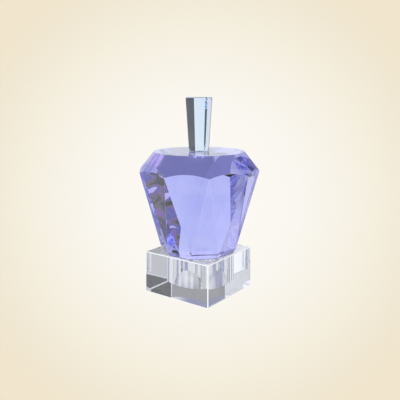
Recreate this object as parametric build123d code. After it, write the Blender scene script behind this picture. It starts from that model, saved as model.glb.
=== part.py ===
from build123d import *
import math
import os

# Crystal perfume bottle: a clear square block with a round well, a violet
# body cut with eighteen three-cornered facets bonded on it, and a clear
# six-sided stopper that lifts out of a lined bore in the body and turns in
# its seal ring.
#
# Frame: millimetres, +Z up, origin at the centre of the block's underside.
# The block's sides face along X and Y.

# ---- driving dimensions ----

# Base block, with a blind round well ground into its top.
block_side = 50.0
block_height = 26.0
block_edge_bevel = 0.5
well_diameter = 33.0
well_depth = 19.0

# Bond between the block and the body.
bond_thickness = 0.15

# Violet body: a nonagon at the foot and a wider one at the girdle, turned by
# half a step, joined by triangles and cut off above by a turned crown.
# The radii are taken at the corners of the nonagons. One corner of the
# girdle stands over a corner of the block.
nonagon_sides = 9
half_step = 180 / nonagon_sides
girdle_turn = -45.0
foot_turn = girdle_turn + half_step
body_height = 65.0
foot_radius = 23.8
foot_bevel_height = 2.6
lower_radius = 25.6
girdle_radius = 40.3
girdle_height = 52.3
table_radius = 30.2
crown_run_per_rise = (girdle_radius - table_radius) / (body_height - girdle_height)

# Bore in the body: a wide mouth for the liner, and the reservoir under it.
mouth_diameter = 7.0
mouth_depth = 6.6
reservoir_diameter = 5.6
reservoir_depth = 10.5

# Liner in the mouth, its top below the table by the seat of the flange.
liner_inner_diameter = 5.4
liner_top_depth = 0.55

# Stopper: six-sided handle that widens upwards, glued on a plug.
handle_sides = 6
handle_turn = 45.0
handle_height = 35.85
handle_lower_radius = 6.75
handle_upper_radius = 9.1
handle_edge_bevel = 0.5
flange_gap = 0.05
flange_diameter = 6.8
flange_thickness = 0.5
glue_thickness = 0.1
glue_diameter = 6.6
plug_length = 5.4
plug_clearance = 0.05
plug_lead_in = 0.4

# Seal ring in a groove of the plug.
ring_centre_depth = 3.4
ring_height = 1.0
ring_outer_clearance = 0.02
groove_root_diameter = 4.3
groove_clearance = 0.05

# Dauber: glass rod with a ball tip, held in the plug.
rod_diameter = 1.6
rod_socket_depth = 3.0
tip_diameter = 2.2
tip_clearance_to_reservoir = 0.8

# ---- heights and places worked out from them ----

body_bottom = block_height + bond_thickness
table = body_bottom + body_height
liner_top = table - liner_top_depth
flange_bottom = liner_top + flange_gap
flange_top = flange_bottom + flange_thickness
handle_bottom = flange_top + glue_thickness
handle_top = handle_bottom + handle_height
plug_diameter = liner_inner_diameter - 2 * plug_clearance
plug_bottom = flange_bottom - plug_length
reservoir_bottom = table - reservoir_depth
tip_centre = reservoir_bottom + tip_clearance_to_reservoir + tip_diameter / 2


def post(diameter, low, high):
    """Return an upright round solid between two heights."""
    return Pos(0, 0, low) * Cylinder(
        diameter / 2, high - low, align=(Align.CENTER, Align.CENTER, Align.MIN)
    )


def prism(sides, turn, low_radius, low, high_radius, high):
    """Return a solid with flat sides, from one regular outline to another."""
    bottom = Pos(0, 0, low) * RegularPolygon(low_radius, sides, rotation=turn)
    top = Pos(0, 0, high) * RegularPolygon(high_radius, sides, rotation=turn)
    return loft([bottom, top], ruled=True)


def turned(points):
    """Return the solid made by turning an outline of (radius, height) points about Z."""
    outline = make_face(Polyline(*[(radius, 0, height) for radius, height in points], close=True))
    return revolve(outline, Axis.Z)


def base_block():
    """Return the clear block with its bevelled edges and its well."""
    block = Box(
        block_side, block_side, block_height, align=(Align.CENTER, Align.CENTER, Align.MIN)
    )
    block = chamfer(block.edges(), block_edge_bevel)
    return block - post(well_diameter, block_height - well_depth, block_height)


def body_bond():
    """Return the thin film between the block's top and the body's foot."""
    film = prism(nonagon_sides, foot_turn, foot_radius, block_height, foot_radius, body_bottom)
    return film - post(well_diameter, block_height, body_bottom)


def facets(turn, low_radius, girdle_radius_here):
    """Return the nine-sided solid that carries every second facet, up to the table."""
    low = body_bottom + foot_bevel_height
    girdle = body_bottom + girdle_height
    widening = (girdle_radius_here - low_radius) / (girdle - low)
    high_radius = low_radius + widening * (table - low)
    return prism(nonagon_sides, turn, low_radius, low, high_radius, table)


def bottle_body():
    """Return the faceted body with its bore for the liner and the reservoir."""
    bevel_top = body_bottom + foot_bevel_height
    side_share = math.cos(math.radians(half_step))
    point_down = facets(girdle_turn, lower_radius / side_share, girdle_radius)
    point_up = facets(foot_turn, lower_radius, girdle_radius / side_share)
    foot = prism(nonagon_sides, foot_turn, foot_radius, body_bottom, lower_radius, bevel_top)
    crown_base_radius = table_radius + crown_run_per_rise * body_height
    crown = Pos(0, 0, body_bottom) * Cone(
        crown_base_radius, table_radius, body_height, align=(Align.CENTER, Align.CENTER, Align.MIN)
    )
    body = (point_down & point_up & crown) + foot
    mouth = post(mouth_diameter, table - mouth_depth, table)
    reservoir = post(reservoir_diameter, reservoir_bottom, table)
    return body - mouth - reservoir


def neck_liner():
    """Return the tube that lines the mouth of the bore."""
    tube = post(mouth_diameter, table - mouth_depth, liner_top)
    return tube - post(liner_inner_diameter, table - mouth_depth, liner_top)


def stopper_handle():
    """Return the clear handle with its top edges bevelled."""
    handle = prism(
        handle_sides,
        handle_turn,
        handle_lower_radius,
        handle_bottom,
        handle_upper_radius,
        handle_top,
    )
    top_edges = handle.faces().sort_by(Axis.Z)[-1].edges()
    return chamfer(top_edges, handle_edge_bevel)


def handle_glue():
    """Return the film between the plug's flange and the handle."""
    return post(glue_diameter, flange_top, handle_bottom)


def stopper_plug():
    """Return the plug: flange, shank with a groove, and the socket for the rod."""
    shank = plug_diameter / 2
    groove_root = groove_root_diameter / 2
    groove_middle = table - ring_centre_depth
    groove_half = ring_height / 2 + groove_clearance
    plug = turned(
        [
            (0, flange_top),
            (flange_diameter / 2, flange_top),
            (flange_diameter / 2, flange_bottom),
            (shank, flange_bottom),
            (shank, groove_middle + groove_half),
            (groove_root, groove_middle + groove_half),
            (groove_root, groove_middle - groove_half),
            (shank, groove_middle - groove_half),
            (shank, plug_bottom + plug_lead_in),
            (shank - plug_lead_in, plug_bottom),
            (0, plug_bottom),
        ]
    )
    return plug - post(rod_diameter, plug_bottom, plug_bottom + rod_socket_depth)


def seal_ring():
    """Return the ring that sits in the plug's groove with its corners rounded."""
    middle = table - ring_centre_depth
    inner = groove_root_diameter + 2 * groove_clearance
    outer = liner_inner_diameter - 2 * ring_outer_clearance
    low = middle - ring_height / 2
    high = middle + ring_height / 2
    ring = post(outer, low, high) - post(inner, low, high)
    corner = (outer - inner) / 4
    return fillet(ring.edges().filter_by(GeomType.CIRCLE), corner * 0.8)


def dauber_rod():
    """Return the glass rod with its ball tip."""
    rod = post(rod_diameter, tip_centre, plug_bottom + rod_socket_depth)
    return rod + Pos(0, 0, tip_centre) * Sphere(tip_diameter / 2)


parts = {
    "base_block": base_block,
    "body_bond": body_bond,
    "bottle_body": bottle_body,
    "neck_liner": neck_liner,
    "stopper_handle": stopper_handle,
    "handle_glue": handle_glue,
    "stopper_plug": stopper_plug,
    "seal_ring": seal_ring,
    "dauber_rod": dauber_rod,
}

os.makedirs("parts", exist_ok=True)
for name, make in parts.items():
    export_step(make(), f"parts/{name}.step")
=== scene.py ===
import math

import bmesh
import bpy
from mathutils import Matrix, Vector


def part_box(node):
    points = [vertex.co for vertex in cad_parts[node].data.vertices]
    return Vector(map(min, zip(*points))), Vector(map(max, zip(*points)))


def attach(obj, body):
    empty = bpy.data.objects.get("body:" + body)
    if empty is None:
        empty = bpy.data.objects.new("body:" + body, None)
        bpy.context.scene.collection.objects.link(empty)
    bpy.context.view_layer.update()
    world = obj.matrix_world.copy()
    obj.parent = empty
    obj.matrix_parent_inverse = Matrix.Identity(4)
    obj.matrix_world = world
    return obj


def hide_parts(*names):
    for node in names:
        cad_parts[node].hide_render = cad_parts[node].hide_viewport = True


# Crystal perfume bottle in a small photographic studio. The CAD frame gives
# the place of every piece; this script adds the cut and polished look of the
# glass, the plastic of the stopper's fittings, the studio and the camera.

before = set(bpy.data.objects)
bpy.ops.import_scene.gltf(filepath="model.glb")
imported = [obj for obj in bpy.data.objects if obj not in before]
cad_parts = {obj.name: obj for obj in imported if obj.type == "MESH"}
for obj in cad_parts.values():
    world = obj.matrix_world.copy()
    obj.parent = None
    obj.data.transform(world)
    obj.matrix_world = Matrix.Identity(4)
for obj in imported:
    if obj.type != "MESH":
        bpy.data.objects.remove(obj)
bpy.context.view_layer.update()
block_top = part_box("base_block")[1].z

# ---- values, in metres ----

millimetre = 0.001

# Facet edges: a polished edge is a hairline flat, not a sharp corner.
body_edge_width = 0.14 * millimetre
handle_edge_width = 0.10 * millimetre
edge_from_angle = math.radians(8)

# Block: the well in its top, and how its faces are told apart by their normals.
well_radius = 16.5 * millimetre
well_margin = 0.1 * millimetre
upright_below = 0.1
square_above = 0.95
sharp_from_angle = math.radians(30)

# Corners of the CAD meshes that are nearer than this are one corner.
merge_distance = 0.001 * millimetre

# How strongly glass and plastic bend light.
glass_index = 1.52
plastic_index = 1.5

# Light taken up by the glass on its way through, per metre, as red, green, blue.
violet_uptake = (2.2, 2.2, 0.15)
clear_uptake = (1.2, 0.9, 0.4)
pale_uptake = (14.0, 7.0, 0.8)
rod_uptake = (1.0, 0.7, 0.5)

# Tint of the glass's surface, thinner and denser streaks of its melt.
violet_streaks = ((0.525, 0.536, 0.965), (0.595, 0.606, 0.98))
clear_streaks = ((0.965, 0.97, 0.985), (1.0, 1.0, 1.0))
pale_streaks = ((0.93, 0.95, 0.98), (0.97, 0.98, 1.0))

# Finely ground glass and the drill's marks in the well.
ground_roughness = 0.4
fine_ground_roughness = 0.12
drilled_roughness = 0.04
drill_mark_depth = 0.15 * millimetre
drill_mark_shape = (1.0, 1.0, 0.02)

# Depth of the mottle on the moulded plastic and on the rubber.
plastic_grain = 0.01 * millimetre
rubber_grain = 0.02 * millimetre

# Fineness of the noises, as steps per metre.
melt_fineness = 60.0
drill_mark_fineness = 450.0
mottle_fineness = 1500.0
ground_fineness = 3000.0
grain_fineness = 4000.0

# Camera: level, with its picture shifted so that the horizon is high. The
# shift is gone when the camera is nearer than this place by shift_fade.
camera_azimuth = math.radians(36.3)
camera_distance = 0.3483
camera_above_block = 0.1016
lens_length = 47.09
picture_shift = (0.0025, -0.2593)
shift_fade = 20 * millimetre

# Paper under the bottle, clear of the block's underside.
floor_half_width = 1.5
floor_gap = 0.2 * millimetre

# Cream of the paper, from the middle of the picture outwards; 1 is the picture's width.
paper_colours = (
    (0.0, (0.98, 0.96, 0.92)),
    (0.25, (0.956, 0.930, 0.870)),
    (0.43, (0.913, 0.863, 0.738)),
    (0.55, (0.876, 0.806, 0.655)),
    (0.62, (0.878, 0.783, 0.610)),
)

# Studio as seen from the bottle, in degrees: azimuth is to the right of the
# camera's line of sight, elevation is above it. The studio goes round with the
# camera, as if the bottle were turned on a turntable. Each panel has a span of
# azimuths, a span of elevations, a soft border, a brightness and a colour; later
# ones cover earlier.
white = (0.95, 0.96, 1.0)
cool_white = (0.93, 0.97, 1.0)
violet_shade = (0.78, 0.79, 1.16)
room_brightness = 0.40
panels = {
    "ceiling": ((-200, 200), (38, 100), 6, 0.80, white),
    "front wall": ((110, 250), (-30, 30), 8, 0.70, white),
    "white table on the left": ((-150, -62), (-100, -36), 5, 1.30, white),
    "white table on the right": ((80, 180), (-100, -34), 5, 1.10, white),
    "softbox on the left": ((-142, -98), (-26, -4), 4, 1.10, white),
    "its upper half": ((-142, -98), (0, 32), 4, 0.76, white),
    "right wall": ((74, 112), (-24, -8), 3, 0.56, white),
    "black card on the right": ((68, 112), (9, 27), 4, 0.13, white),
    "left wall": ((-78, -49), (4, 24), 4, 0.62, white),
    "table": ((-82, 30), (-30, -10), 4, 0.82, white),
    "table on the right": ((46, 71), (-20, -8), 3, 0.86, white),
    "shade on the table": ((-1, 32), (-32, -21), 2, 0.38, violet_shade),
    "shade further off": ((-28, -8), (-21, -13), 3, 0.44, violet_shade),
    "glare on the table": ((-10, -4), (-34, -23), 2, 0.72, white),
    "table beside it": ((-84, -50), (-30, -22), 3, 1.00, white),
    "top of the paper": ((-27, 24), (14, 23), 3, 1.10, white),
    "dark strip over it": ((-8, 8), (15, 26), 3, 0.34, white),
    "lit paper": ((-25, 19), (-4, 12), 3, 0.98, cool_white),
    "its left edge": ((-48, -22), (-4, 6), 3, 1.05, white),
    "its upper left corner": ((-45, -27), (8, 14), 3, 0.95, white),
    "dark doorway": ((26, 48), (-9, 5), 4, 0.12, white),
    "dark shelf": ((27, 48), (20, 34), 4, 0.12, white),
}

# Things out of focus in the room: span of azimuths, span of elevations, soft
# border, how small they are, and their colours.
dark_things = (
    (0.30, (0.07, 0.065, 0.05)),
    (0.43, (0.14, 0.13, 0.09)),
    (0.44, (0.25, 0.23, 0.13)),
    (0.50, (0.22, 0.20, 0.15)),
    (0.51, (0.36, 0.20, 0.34)),
    (0.57, (0.30, 0.20, 0.40)),
    (0.58, (0.13, 0.15, 0.30)),
    (0.66, (0.22, 0.24, 0.45)),
    (0.68, (0.9, 0.8, 0.9)),
)
bright_things = (
    (0.30, (0.30, 0.20, 0.36)),
    (0.43, (0.36, 0.26, 0.46)),
    (0.45, (0.80, 0.66, 0.95)),
    (0.50, (1.00, 0.72, 0.80)),
    (0.52, (1.9, 1.7, 1.7)),
    (0.54, (0.70, 0.55, 0.85)),
    (0.60, (0.40, 0.30, 0.60)),
    (0.66, (1.5, 1.35, 1.4)),
)
clutter = {
    "dark shelves on the right": ((19, 50), (7, 17), 2, 42.0, dark_things),
    "dark things further off": ((14, 28), (-2, 6), 2, 42.0, dark_things),
    "bright things on the table": ((27, 64), (-44, -25), 2, 40.0, bright_things),
}


# ---- node helpers ----

def new_material(name):
    """Return a material, its node tree and its Principled node."""
    material = bpy.data.materials.new(name)
    material.use_nodes = True
    return material, material.node_tree, material.node_tree.nodes["Principled BSDF"]


def set_inputs(node, values):
    """Set named inputs of a node."""
    for name, value in values.items():
        node.inputs[name].default_value = value


def maths(tree, operation, first, second=None):
    """Return the output of a Math node; each operand is a number or an output."""
    node = tree.nodes.new("ShaderNodeMath")
    node.operation = operation
    for place, operand in enumerate((first, second)):
        if operand is None:
            continue
        if isinstance(operand, (int, float)):
            node.inputs[place].default_value = operand
        else:
            tree.links.new(operand, node.inputs[place])
    return node.outputs[0]


def noise(tree, scale, detail=2.0):
    """Return the value of a noise that is fixed to the object."""
    place = tree.nodes.new("ShaderNodeTexCoord")
    texture = tree.nodes.new("ShaderNodeTexNoise")
    set_inputs(texture, {"Scale": scale, "Detail": detail, "Roughness": 0.55})
    tree.links.new(place.outputs["Object"], texture.inputs["Vector"])
    return texture.outputs["Fac"]


def ramp(tree, value, stops):
    """Return a colour that runs through stops of (position, colour)."""
    node = tree.nodes.new("ShaderNodeValToRGB")
    elements = node.color_ramp.elements
    while len(elements) > 1:
        elements.remove(elements[-1])
    elements[0].position = stops[0][0]
    elements[0].color = (*stops[0][1], 1)
    for position, colour in stops[1:]:
        elements.new(position).color = (*colour, 1)
    tree.links.new(value, node.inputs["Fac"])
    return node.outputs["Color"]


def blend(tree, share, first, second):
    """Return a share of the second colour over the first; each is a colour or an output."""
    node = tree.nodes.new("ShaderNodeMix")
    node.data_type = "RGBA"
    tree.links.new(share, node.inputs[0])
    for place, colour in ((6, first), (7, second)):
        if isinstance(colour, list):
            node.inputs[place].default_value = (*colour, 1)
        else:
            tree.links.new(colour, node.inputs[place])
    return node.outputs[2]


def bump(tree, shader, height, depth, strength):
    """Give the shader a fine relief of the given depth."""
    node = tree.nodes.new("ShaderNodeBump")
    set_inputs(node, {"Strength": strength, "Distance": depth})
    tree.links.new(height, node.inputs["Height"])
    tree.links.new(node.outputs["Normal"], shader.inputs["Normal"])


# ---- materials ----

def crystal(name, uptake, streaks, roughness=0.0):
    """Return polished glass whose volume takes up light, with a faintly streaky tint."""
    material, tree, shader = new_material(name)
    set_inputs(shader, {"Transmission Weight": 1.0, "IOR": glass_index, "Roughness": roughness})
    melt = ramp(tree, noise(tree, melt_fineness), ((0.35, streaks[0]), (0.6, streaks[1])))
    tree.links.new(melt, shader.inputs["Base Color"])
    density = max(uptake)
    absorb = tree.nodes.new("ShaderNodeVolumeAbsorption")
    left_over = [1 - share / density for share in uptake]
    set_inputs(absorb, {"Density": density, "Color": (*left_over, 1)})
    output = tree.nodes["Material Output"]
    tree.links.new(absorb.outputs["Volume"], output.inputs["Volume"])
    return material


def drilled(name, uptake, streaks):
    """Return glass with the upright marks of the core drill, polished nearly away."""
    material = crystal(name, uptake, streaks, drilled_roughness)
    tree = material.node_tree
    place = tree.nodes.new("ShaderNodeTexCoord")
    stretch = tree.nodes.new("ShaderNodeMapping")
    stretch.inputs["Scale"].default_value = drill_mark_shape
    tree.links.new(place.outputs["Object"], stretch.inputs["Vector"])
    marks = tree.nodes.new("ShaderNodeTexNoise")
    set_inputs(marks, {"Scale": drill_mark_fineness, "Detail": 2.0})
    tree.links.new(stretch.outputs["Vector"], marks.inputs["Vector"])
    bump(tree, tree.nodes["Principled BSDF"], marks.outputs["Fac"], drill_mark_depth, 1.0)
    return material


def ground(name, tint, glow):
    """Return finely ground glass with a painted highlight: it glows by itself, though it is no
    lamp.
    """
    material, tree, shader = new_material(name)
    set_inputs(shader, {"Transmission Weight": 0.1, "IOR": glass_index})
    # The emission strength, glow, is a painted highlight standing in for light caught on the
    # flat.
    set_inputs(shader, {"Roughness": ground_roughness, "Emission Strength": glow})
    darker = tuple(0.88 * part for part in tint)
    grain = ramp(tree, noise(tree, ground_fineness, 3.0), ((0.3, darker), (0.7, tint)))
    tree.links.new(grain, shader.inputs["Base Color"])
    # The painted highlight takes the grain's tint as its colour.
    tree.links.new(grain, shader.inputs["Emission Color"])
    return material


def plastic(name, tint, roughness, clearness, grain):
    """Return moulded plastic, more or less milky, with a fine mottled surface."""
    material, tree, shader = new_material(name)
    set_inputs(shader, {"Transmission Weight": clearness, "IOR": plastic_index})
    set_inputs(shader, {"Roughness": roughness})
    darker = tuple(0.93 * part for part in tint)
    mottle = ramp(tree, noise(tree, mottle_fineness, 4.0), ((0.35, darker), (0.65, tint)))
    tree.links.new(mottle, shader.inputs["Base Color"])
    if grain:
        bump(tree, shader, noise(tree, grain_fineness, 3.0), grain, 0.4)
    return material


violet = crystal("violet_crystal", violet_uptake, violet_streaks)
# The body's edge flats: ground glass that glows with a painted highlight of strength 0.25.
violet_edge_painted_glow = ground("violet_edge_painted_glow", (0.78, 0.72, 0.98), 0.25)
clear = crystal("clear_crystal", clear_uptake, clear_streaks)
# The block's ground bevels glow with a painted highlight of strength 0.42.
ground_edge_painted_glow = ground("ground_edge_painted_glow", (0.97, 0.98, 1.0), 0.42)
well_wall = drilled("well_wall", clear_uptake, clear_streaks)
pale = crystal("stopper_crystal", pale_uptake, pale_streaks)
pale_edge = crystal("stopper_edge", clear_uptake, clear_streaks, fine_ground_roughness)
rod = crystal("rod_glass", rod_uptake, clear_streaks)
film = plastic("clear_bond", (0.96, 0.96, 0.98), 0.0, 1.0, 0)
liner = plastic("liner_plastic", (0.62, 0.62, 0.93), 0.06, 0.9, plastic_grain)
plug = plastic("plug_plastic", (0.64, 0.64, 0.93), 0.12, 0.85, plastic_grain)
seal = plastic("seal_rubber", (0.60, 0.60, 0.86), 0.3, 0.6, rubber_grain)
for node, material in {
    "dauber_rod": rod,
    "body_bond": film,
    "handle_glue": film,
    "neck_liner": liner,
    "stopper_plug": plug,
    "seal_ring": seal,
}.items():
    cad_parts[node].data.materials[0] = material


# ---- cut pieces ----

def stand_in(name, node, body, materials):
    """Stand a copy of a CAD node in its place, as a joined mesh that can be worked on."""
    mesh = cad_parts[node].data.copy()
    mesh.name = name
    joined = bmesh.new()
    joined.from_mesh(mesh)
    bmesh.ops.remove_doubles(joined, verts=joined.verts, dist=merge_distance)
    for face in joined.faces:
        face.smooth = True
    joined.to_mesh(mesh)
    joined.free()
    if "custom_normal" in mesh.attributes:
        mesh.attributes.remove(mesh.attributes["custom_normal"])
    mesh.materials.clear()
    for material in materials:
        mesh.materials.append(material)
    piece = bpy.data.objects.new(name, mesh)
    bpy.context.scene.collection.objects.link(piece)
    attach(piece, body)
    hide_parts(node)
    return piece


def polish_edges(piece, width):
    """Put a hairline flat, in the second material, on each cut edge of a piece."""
    flats = piece.modifiers.new("flats", "BEVEL")
    flats.width = width
    flats.segments = 1
    flats.limit_method = "ANGLE"
    flats.angle_limit = edge_from_angle
    flats.material = 1
    shading = piece.modifiers.new("shading", "WEIGHTED_NORMAL")
    shading.keep_sharp = True


def make_body():
    """Cut the violet body."""
    body = stand_in(
        "violet_body", "bottle_body", "bottle", (violet, violet_edge_painted_glow)
    )
    # The body's edge flats take the glowing material, a painted highlight along each edge.
    polish_edges(body, body_edge_width)


def make_handle():
    """Cut the stopper's handle."""
    handle = stand_in(
        "stopper_crystal", "stopper_handle", "stopper", (pale, pale_edge)
    )
    polish_edges(handle, handle_edge_width)


def make_block():
    """Make the block, with its ground bevels, which glow with a painted highlight, and the wall
    of its well in their own materials.
    """
    block = stand_in(
        "clear_block", "base_block", "bottle", (clear, ground_edge_painted_glow, well_wall)
    )
    for face in block.data.polygons:
        largest = max(abs(part) for part in face.normal)
        inside = math.hypot(face.center.x, face.center.y) < well_radius + well_margin
        if inside and abs(face.normal.z) < upright_below:
            face.material_index = 2
        elif largest < square_above:
            face.material_index = 1
    block.data.set_sharp_from_angle(angle=sharp_from_angle)


make_body()
make_handle()
make_block()


# ---- studio ----

def world_angles(tree):
    """Return a direction as right, ahead and up of the camera, its azimuth and its elevation."""
    coordinates = tree.nodes.new("ShaderNodeTexCoord")
    turn = tree.nodes.new("ShaderNodeVectorTransform")
    turn.vector_type = "VECTOR"
    turn.convert_from = "WORLD"
    turn.convert_to = "CAMERA"
    tree.links.new(coordinates.outputs["Generated"], turn.inputs[0])
    parts = tree.nodes.new("ShaderNodeSeparateXYZ")
    tree.links.new(turn.outputs[0], parts.inputs[0])
    direction = tree.nodes.new("ShaderNodeCombineXYZ")
    for place, part in enumerate(("X", "Z", "Y")):
        tree.links.new(parts.outputs[part], direction.inputs[place])
    azimuth = maths(tree, "ARCTAN2", parts.outputs["X"], parts.outputs["Z"])
    elevation = maths(tree, "ARCSINE", parts.outputs["Y"])
    azimuth = maths(tree, "DEGREES", azimuth)
    return direction.outputs[0], azimuth, maths(tree, "DEGREES", elevation)


def span(tree, angle, limits, border, wraps):
    """Return 1 between two angles, falling to 0 over a soft border outside them."""
    middle = (limits[0] + limits[1]) / 2
    half = (limits[1] - limits[0]) / 2
    offset = maths(tree, "SUBTRACT", angle, middle)
    if wraps:
        shifted = maths(tree, "ADD", offset, 540.0)
        offset = maths(tree, "SUBTRACT", maths(tree, "MODULO", shifted, 360.0), 180.0)
    node = tree.nodes.new("ShaderNodeMapRange")
    node.interpolation_type = "SMOOTHSTEP"
    set_inputs(node, {"From Min": half + border, "From Max": half})
    tree.links.new(maths(tree, "ABSOLUTE", offset), node.inputs["Value"])
    return node.outputs["Result"]


def patch(tree, azimuth, elevation, across, upwards, border):
    """Return 1 inside a span of azimuths and elevations, falling to 0 around it."""
    share_across = span(tree, azimuth, across, border, True)
    share_upwards = span(tree, elevation, upwards, border, False)
    return maths(tree, "MULTIPLY", share_across, share_upwards)


def studio(tree):
    """Return the colour of the studio in each direction."""
    direction, azimuth, elevation = world_angles(tree)
    colour = [room_brightness * part for part in white]
    for across, upwards, border, brightness, tint in panels.values():
        share = patch(tree, azimuth, elevation, across, upwards, border)
        colour = blend(tree, share, colour, [brightness * part for part in tint])
    for across, upwards, border, fineness, colours in clutter.values():
        swirls = tree.nodes.new("ShaderNodeTexNoise")
        set_inputs(swirls, {"Scale": fineness, "Detail": 1.0, "Distortion": 1.0})
        tree.links.new(direction, swirls.inputs["Vector"])
        share = patch(tree, azimuth, elevation, across, upwards, border)
        colour = blend(tree, share, colour, ramp(tree, swirls.outputs["Fac"], colours))
    return colour


def paper(tree):
    """Return the cream of the paper, darker towards the corners of the picture."""
    window = tree.nodes.new("ShaderNodeTexCoord")
    distance = tree.nodes.new("ShaderNodeVectorMath")
    distance.operation = "DISTANCE"
    distance.inputs[1].default_value = (0.5, 0.5, 0)
    tree.links.new(window.outputs["Window"], distance.inputs[0])
    return ramp(tree, distance.outputs["Value"], paper_colours)


def make_world():
    """Light the bottle from panels, and show the camera plain cream paper."""
    world = bpy.data.worlds.new("studio")
    bpy.context.scene.world = world
    world.use_nodes = True
    tree = world.node_tree
    tree.nodes.clear()
    path = tree.nodes.new("ShaderNodeLightPath")
    seen = blend(tree, path.outputs["Is Camera Ray"], studio(tree), paper(tree))
    background = tree.nodes.new("ShaderNodeBackground")
    tree.links.new(seen, background.inputs["Color"])
    output = tree.nodes.new("ShaderNodeOutputWorld")
    tree.links.new(background.outputs[0], output.inputs["Surface"])


def make_floor():
    """Lay the paper under the block; only the camera sees it, for the world lights the glass."""
    mesh = bpy.data.meshes.new("floor")
    reach = floor_half_width
    corners = [(-reach, -reach), (reach, -reach), (reach, reach), (-reach, reach)]
    mesh.from_pydata([(x, y, -floor_gap) for x, y in corners], [], [(0, 1, 2, 3)])
    material = bpy.data.materials.new("paper")
    material.use_nodes = True
    tree = material.node_tree
    tree.nodes.clear()
    glow = tree.nodes.new("ShaderNodeEmission")
    tree.links.new(paper(tree), glow.inputs["Color"])
    output = tree.nodes.new("ShaderNodeOutputMaterial")
    tree.links.new(glow.outputs[0], output.inputs["Surface"])
    mesh.materials.append(material)
    floor = bpy.data.objects.new("floor", mesh)
    bpy.context.scene.collection.objects.link(floor)
    floor.visible_diffuse = False
    floor.visible_glossy = False
    floor.visible_transmission = False
    floor.visible_volume_scatter = False
    floor.visible_shadow = False
    return floor


def centre_other_views(camera, floor):
    """Let the shift hold only at the picture's distance; a view from nearer is centred."""
    place = camera.location.length
    for direction, shift in zip(("shift_x", "shift_y"), picture_shift):
        curve = camera.data.driver_add(direction)
        curve.driver.type = "SUM"
        distance = curve.driver.variables.new()
        distance.type = "LOC_DIFF"
        distance.targets[0].id = camera
        distance.targets[1].id = floor
        for modifier in list(curve.modifiers):
            curve.modifiers.remove(modifier)
        curve.keyframe_points.insert(place - shift_fade, 0.0).interpolation = "LINEAR"
        curve.keyframe_points.insert(place, shift).interpolation = "LINEAR"


def make_camera(floor):
    """Make the camera at the picture's viewing angle."""
    data = bpy.data.cameras.new("camera")
    data.lens = lens_length
    data.shift_x, data.shift_y = picture_shift
    camera = bpy.data.objects.new("camera", data)
    bpy.context.scene.collection.objects.link(camera)
    camera.location = (
        camera_distance * math.sin(camera_azimuth),
        -camera_distance * math.cos(camera_azimuth),
        block_top + camera_above_block,
    )
    camera.rotation_euler = (math.pi / 2, 0, camera_azimuth)
    bpy.context.scene.camera = camera
    centre_other_views(camera, floor)


make_world()
make_camera(make_floor())
scene = bpy.context.scene
scene.view_settings.view_transform = "Standard"
scene.cycles.max_bounces = 32
scene.cycles.transmission_bounces = 32
scene.cycles.glossy_bounces = 32
